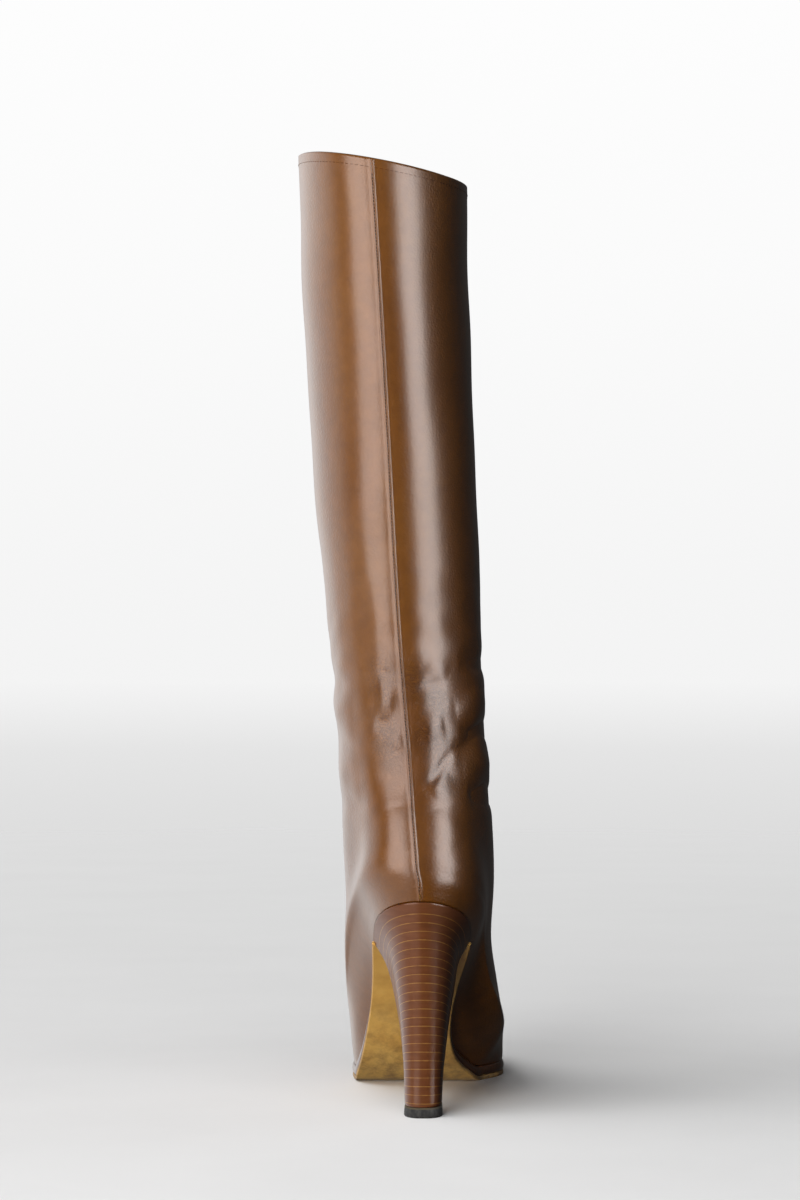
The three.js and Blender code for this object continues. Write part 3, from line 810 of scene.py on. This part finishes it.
def heel_ring(drop, grow=0.0):
    """Ring of the heel from seat (0) to tip (1): outer side, breast, inner side."""
    outer, inner, back, breast = heel_shape(np.array(drop))
    angle = heel_half * breast_angle
    half = tip_breadth / 2 * np.sin(np.minimum(1, heel_half / tip_corner) * np.pi / 2) ** tip_squareness
    tip_y = tip_place + tip_depth * (1 - np.cos(heel_half * np.pi / 2))
    to_tip = back + (breast - back) * heel_half
    sides = []
    for sign, turn, breadth in ((-1, angle, outer), (1, 2 * np.pi - angle, inner)):
        seat = on_sole(feather_points(turn, sole_edge - clearance + grow), -seat_clearance)
        sides.append(np.stack([
            sign * (half + grow) + (seat[:, 0] - sign * (half + grow)) * breadth,
            seat[:, 1] + (tip_y - seat[:, 1]) * to_tip,
            seat[:, 2] + (tip_top - seat[:, 2]) * drop,
        ], axis=-1))
    breast_share = np.linspace(0, 1, 12)[1:-1, None]
    front = sides[0][-1] + (sides[1][-1] - sides[0][-1]) * breast_share
    sides[0][0, 0] = sides[1][0, 0] = (sides[0][0, 0] + sides[1][0, 0]) / 2
    return np.concatenate([sides[0], front, sides[1][:0:-1]])


drops = [(0.0, -0.0011), (0.001, -0.0006), (0.003, -0.0002), (0.007, 0.0)]
drops += [(drop, 0.0) for drop in np.linspace(0.012, 0.99, 90)]
drops += [(0.997, -0.0001), (1.0, -0.0003)]
heel_rings = [heel_ring(drop, grow) for drop, grow in drops[::-1]]
heel_count = len(heel_rings[0])


def end_cap(ring_start, count, rising):
    face = list(range(ring_start, ring_start + count))
    return face if rising else face[::-1]


heel_faces = ring_faces(len(heel_rings), heel_count)
heel_faces.append(end_cap(0, heel_count, False))
heel_faces.append(end_cap((len(heel_rings) - 1) * heel_count, heel_count, True))
heel = make_piece("stacked_heel", np.array(heel_rings) + shift, heel_faces)
heel.data.set_sharp_from_angle(angle=np.radians(50))
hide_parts("heel")
layers = heel.data.attributes.new("layer", "FLOAT", "POINT")
lifts_down = [drop * lift_count - seat_lift for drop, _ in drops[::-1]]
layers.data.foreach_set("value", np.repeat(lifts_down, heel_count))

heel_dark = (0.19, 0.056, 0.019, 1)
heel_mid = (0.32, 0.110, 0.038, 1)
golden_line = (0.52, 0.23, 0.058, 1)
heel_material, tree, shader = new_material("stacked_leather")
place = add_node(tree, "TexCoord").outputs["Object"]
layer = add_node(tree, "Attribute", {"attribute_name": "layer"}).outputs["Fac"]
part = add_node(tree, "Math", {"operation": "FRACT"}, _0=layer)
off_line = add_node(tree, "Math", {"operation": "SUBTRACT"}, _0=part.outputs[0], _1=0.5)
far_line = add_node(tree, "Math", {"operation": "ABSOLUTE"}, _0=off_line.outputs[0])
wander = add_node(tree, "TexNoise", vector=place, scale=260.0, detail=2.0)
line_width = add_node(tree, "MapRange", value=wander.outputs["Fac"], from_min=0.35, from_max=0.65,
                      to_min=0.03, to_max=0.065)
on_line = add_node(tree, "Math", {"operation": "LESS_THAN"},
                   _0=far_line.outputs[0], _1=line_width.outputs[0])
below_seat = add_node(tree, "Math", {"operation": "GREATER_THAN"}, _0=layer, _1=0.0)
on_line = add_node(tree, "Math", {"operation": "MULTIPLY"},
                   _0=on_line.outputs[0], _1=below_seat.outputs[0])
pressed = add_node(tree, "Mapping", vector=place, scale=(1, 1, 6)).outputs[0]
streaks = add_node(tree, "TexNoise", vector=pressed, scale=90.0, detail=4.0)
body = mix_colours(tree, streaks.outputs["Fac"], heel_dark, heel_mid)
tree.links.new(mix_colours(tree, on_line.outputs[0], body, golden_line), shader.inputs["Base Color"])
bump = add_node(tree, "Bump", height=streaks.outputs["Fac"], strength=0.12, distance=0.0003)
tree.links.new(bump.outputs[0], shader.inputs["Normal"])
shader.inputs["Roughness"].default_value = 0.35
shader.inputs["Specular IOR Level"].default_value = 0.12
shader.inputs["Coat Weight"].default_value = 0.3
shader.inputs["Coat Roughness"].default_value = 0.15
heel.data.materials.append(heel_material)

# Top lift: a flat piece of dark hard rubber nailed and glued under the heel's tip, trimmed a
# little proud of it, and the piece that wears on the floor.
lift_flare = 0.0004
tip_ring = heel_ring(1.0)
tip_centre = np.array([0, tip_place + tip_depth / 2, 0])
away = (tip_ring - tip_centre) * [1, 1, 0]
away /= np.linalg.norm(away, axis=1, keepdims=True)
lift_profile = [
    (0, lift_flare - edge_bevel), (0.00015, lift_flare - 0.0002), (edge_bevel, lift_flare),
    (lift_thickness * 0.6, lift_flare * 0.5), (lift_thickness - 0.0003, 0), (lift_thickness, -0.0002),
]
lift_rings = []
for up, flare in lift_profile:
    ring = tip_ring + away * flare
    ring[:, 2] = up
    lift_rings.append(ring)
lift_faces = ring_faces(len(lift_rings), heel_count)
lift_faces.append(end_cap(0, heel_count, False))
lift_faces.append(end_cap((len(lift_rings) - 1) * heel_count, heel_count, True))
lift = make_piece("rubber_top_lift", np.array(lift_rings) + shift, lift_faces)
lift.data.set_sharp_from_angle(angle=np.radians(50))
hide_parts("top_lift")
rubber, tree, shader = new_material("dark_rubber")
place = add_node(tree, "TexCoord").outputs["Object"]
dust = add_node(tree, "TexNoise", vector=place, scale=400.0, detail=4.0)
rubber_black = (0.018, 0.017, 0.016, 1)
rubber_dusty = (0.075, 0.07, 0.062, 1)
shade = ramp(tree, dust.outputs["Fac"], [(0.4, rubber_black), (0.68, rubber_dusty)])
edge = add_node(tree, "MapRange", value=add_node(tree, "SeparateXYZ", vector=place).outputs["Z"],
                from_min=0.0040, from_max=0.0048)
shade = mix_colours(tree, edge.outputs[0], shade, (0.16, 0.12, 0.06, 1))
tree.links.new(shade, shader.inputs["Base Color"])
bump = add_node(tree, "Bump", height=dust.outputs["Fac"], strength=0.3, distance=0.0002)
tree.links.new(bump.outputs[0], shader.inputs["Normal"])
shader.inputs["Roughness"].default_value = 0.7
lift.data.materials.append(rubber)

# Floor: plain pale paper, which fades out far from the boot into the pale room.
floor_reach = 9.0
clear_reach = 0.25
half_fade = 0.7
floor_rings = np.linspace(0, floor_reach, 10)[1:]
floor_sides = 96
floor_turns = np.linspace(0, 2 * np.pi, floor_sides, endpoint=False)
floor_points = [(0, 0, 0)]
floor_points += [(r * np.cos(t), r * np.sin(t), 0) for r in floor_rings for t in floor_turns]
floor_faces = [(0, 1 + side, 1 + (side + 1) % floor_sides) for side in range(floor_sides)]
floor_faces += ring_faces(len(floor_rings), floor_sides, first=1)
mesh = bpy.data.meshes.new("paper_floor")
mesh.from_pydata(floor_points, [], floor_faces)
floor = bpy.data.objects.new("paper_floor", mesh)
bpy.context.scene.collection.objects.link(floor)
floor.visible_glossy = False
floor.visible_diffuse = False
paper, tree, shader = new_material("pale_paper")
place = add_node(tree, "TexCoord").outputs["Object"]
tone = add_node(tree, "TexNoise", vector=place, scale=6.0, detail=4.0)
tree.links.new(ramp(tree, tone.outputs["Fac"], [(0.3, 0.80), (0.7, 0.84)]), shader.inputs["Base Color"])
away = add_node(tree, "VectorMath", {"operation": "LENGTH"}, _0=place)
beyond = add_node(tree, "Math", {"operation": "SUBTRACT"}, _0=away.outputs["Value"], _1=clear_reach)
beyond = add_node(tree, "Math", {"operation": "MAXIMUM"}, _0=beyond.outputs[0], _1=0.0)
reach = add_node(tree, "Math", {"operation": "ADD"}, _0=beyond.outputs[0], _1=half_fade)
fade = add_node(tree, "Math", {"operation": "DIVIDE"}, _0=half_fade, _1=reach.outputs[0])
rim = add_node(tree, "MapRange", value=away.outputs["Value"],
               from_min=4.0, from_max=8.5, to_min=1.0, to_max=0.0)
fade = add_node(tree, "Math", {"operation": "MULTIPLY"}, _0=fade.outputs[0], _1=rim.outputs[0])
tree.links.new(fade.outputs[0], shader.inputs["Alpha"])
shader.inputs["Roughness"].default_value = 0.9
shader.inputs["Specular IOR Level"].default_value = 0.1
mesh.materials.append(paper)

# Light: soft boxes left and right, whose reflections run down the leather on both sides of the
# seam, plainer ones that only light it, and a room that is white to the left and dark to the right.
def soft_box(name, around, distance, height, size, radiance, glossy=True, diffuse=True):
    """A soft box that faces the boot, from degrees round behind it (to the right above 0)."""
    middle = np.array([0.0, 0.03, 0.25])
    place = middle + [distance * np.sin(np.radians(around)), -distance * np.cos(np.radians(around)), 0]
    place[2] = height
    light = bpy.data.lights.new(name, "AREA")
    light.shape = "RECTANGLE"
    light.size, light.size_y = size
    light.energy = radiance * np.pi * size[0] * size[1]
    lamp = bpy.data.objects.new(name, light)
    bpy.context.scene.collection.objects.link(lamp)
    lamp.visible_camera = False
    lamp.visible_glossy = glossy
    lamp.visible_diffuse = diffuse
    lamp.location = place
    way = middle - place
    pan = np.arctan2(-way[0], way[1])
    tilt = np.arctan2(way[2], np.hypot(way[0], way[1])) + np.pi / 2
    lamp.rotation_euler = (tilt, 0, pan)
    return lamp


soft_box("left_box", -35, 2.4, 0.45, (1.9, 1.9), 5.0, diffuse=False)
soft_box("right_box", 60, 2.4, 0.45, (1.5, 1.9), 7.5, diffuse=False)
soft_box("key_box", -18, 2.4, 0.6, (0.9, 1.9), 6.5, glossy=False)
soft_box("top_box", -60, 1.0, 2.3, (1.6, 1.6), 1.0, glossy=False)
front_fill = soft_box("front_fill", -170, 2.4, 1.0, (1.6, 1.6), 1.6, glossy=False)
sole_fill = soft_box("sole_fill", -20, 0.9, 0.05, (0.5, 0.4), 14.0, glossy=False)
floor_light = soft_box("floor_light", -40, 1.2, 2.6, (2.0, 2.0), 4.8, glossy=False)
boot_pieces = [upper, insole, lining, platform, outsole, heel, lift]
for lamp, lit in ((front_fill, boot_pieces), (sole_fill, [outsole]), (floor_light, [floor])):
    receivers = bpy.data.collections.new("lit_by_" + lamp.name)
    for piece in lit:
        receivers.objects.link(piece)
    lamp.light_linking.receiver_collection = receivers
world = bpy.data.worlds.new("pale_room")
bpy.context.scene.world = world
world.use_nodes = True
tree = world.node_tree
backdrop = tree.nodes["Background"]
way = add_node(tree, "SeparateXYZ", vector=add_node(tree, "TexCoord").outputs["Generated"])
side = add_node(tree, "MapRange", value=way.outputs["X"], from_min=-1.0, from_max=1.0)
room = ramp(tree, side.outputs[0],
            [(0.0, 1.6), (0.12, 1.5), (0.3, 1.2), (0.45, 0.4), (0.55, 0.05), (1.0, 0.02)])
behind = add_node(tree, "MapRange", value=way.outputs["Y"], from_min=-0.25, from_max=0.2)
room = mix_colours(tree, behind.outputs[0], (0.06, 0.06, 0.06, 1), room)
overhead = add_node(tree, "MapRange", value=way.outputs["Z"], from_min=0.3, from_max=0.8)
room = mix_colours(tree, overhead.outputs[0], room, (0.15, 0.15, 0.15, 1))
below = add_node(tree, "MapRange", value=way.outputs["Z"], from_min=0.0, from_max=-0.4)
paper_glow = ramp(tree, side.outputs[0],
                  [(0.0, 1.5), (0.3, 1.0), (0.45, 0.2), (0.55, 0.04), (1.0, 0.02)])
room = mix_colours(tree, below.outputs[0], room, paper_glow)
above = add_node(tree, "MapRange", value=way.outputs["Z"], from_min=-0.3, from_max=0.9)
seen = ramp(tree, above.outputs[0], [(0.0, 0.80), (0.25, 0.91), (0.33, 0.96), (0.45, 1.0), (1.0, 1.0)])
path = add_node(tree, "LightPath")
soft_room = mix_colours(tree, 1.0, room, (0.25, 0.25, 0.25, 1), "MULTIPLY")
room = mix_colours(tree, path.outputs["Is Diffuse Ray"], room, soft_room)
tree.links.new(mix_colours(tree, path.outputs["Is Camera Ray"], room, seen), backdrop.inputs["Color"])
bpy.context.scene.view_settings.view_transform = "Standard"

# Camera: level, behind the boot, with the lens of the photograph's view.
camera_place = (0.035, -1.6105, 0.253)
camera_turn = np.radians(1.65)
lens = 98.4
sensor = 36.0
camera_data = bpy.data.cameras.new("camera")
camera_data.lens = lens
camera_data.sensor_width = sensor
camera_data.sensor_fit = "AUTO"
camera = bpy.data.objects.new("camera", camera_data)
bpy.context.scene.collection.objects.link(camera)
camera.location = camera_place
camera.rotation_euler = (np.pi / 2, 0, camera_turn)
bpy.context.scene.camera = camera
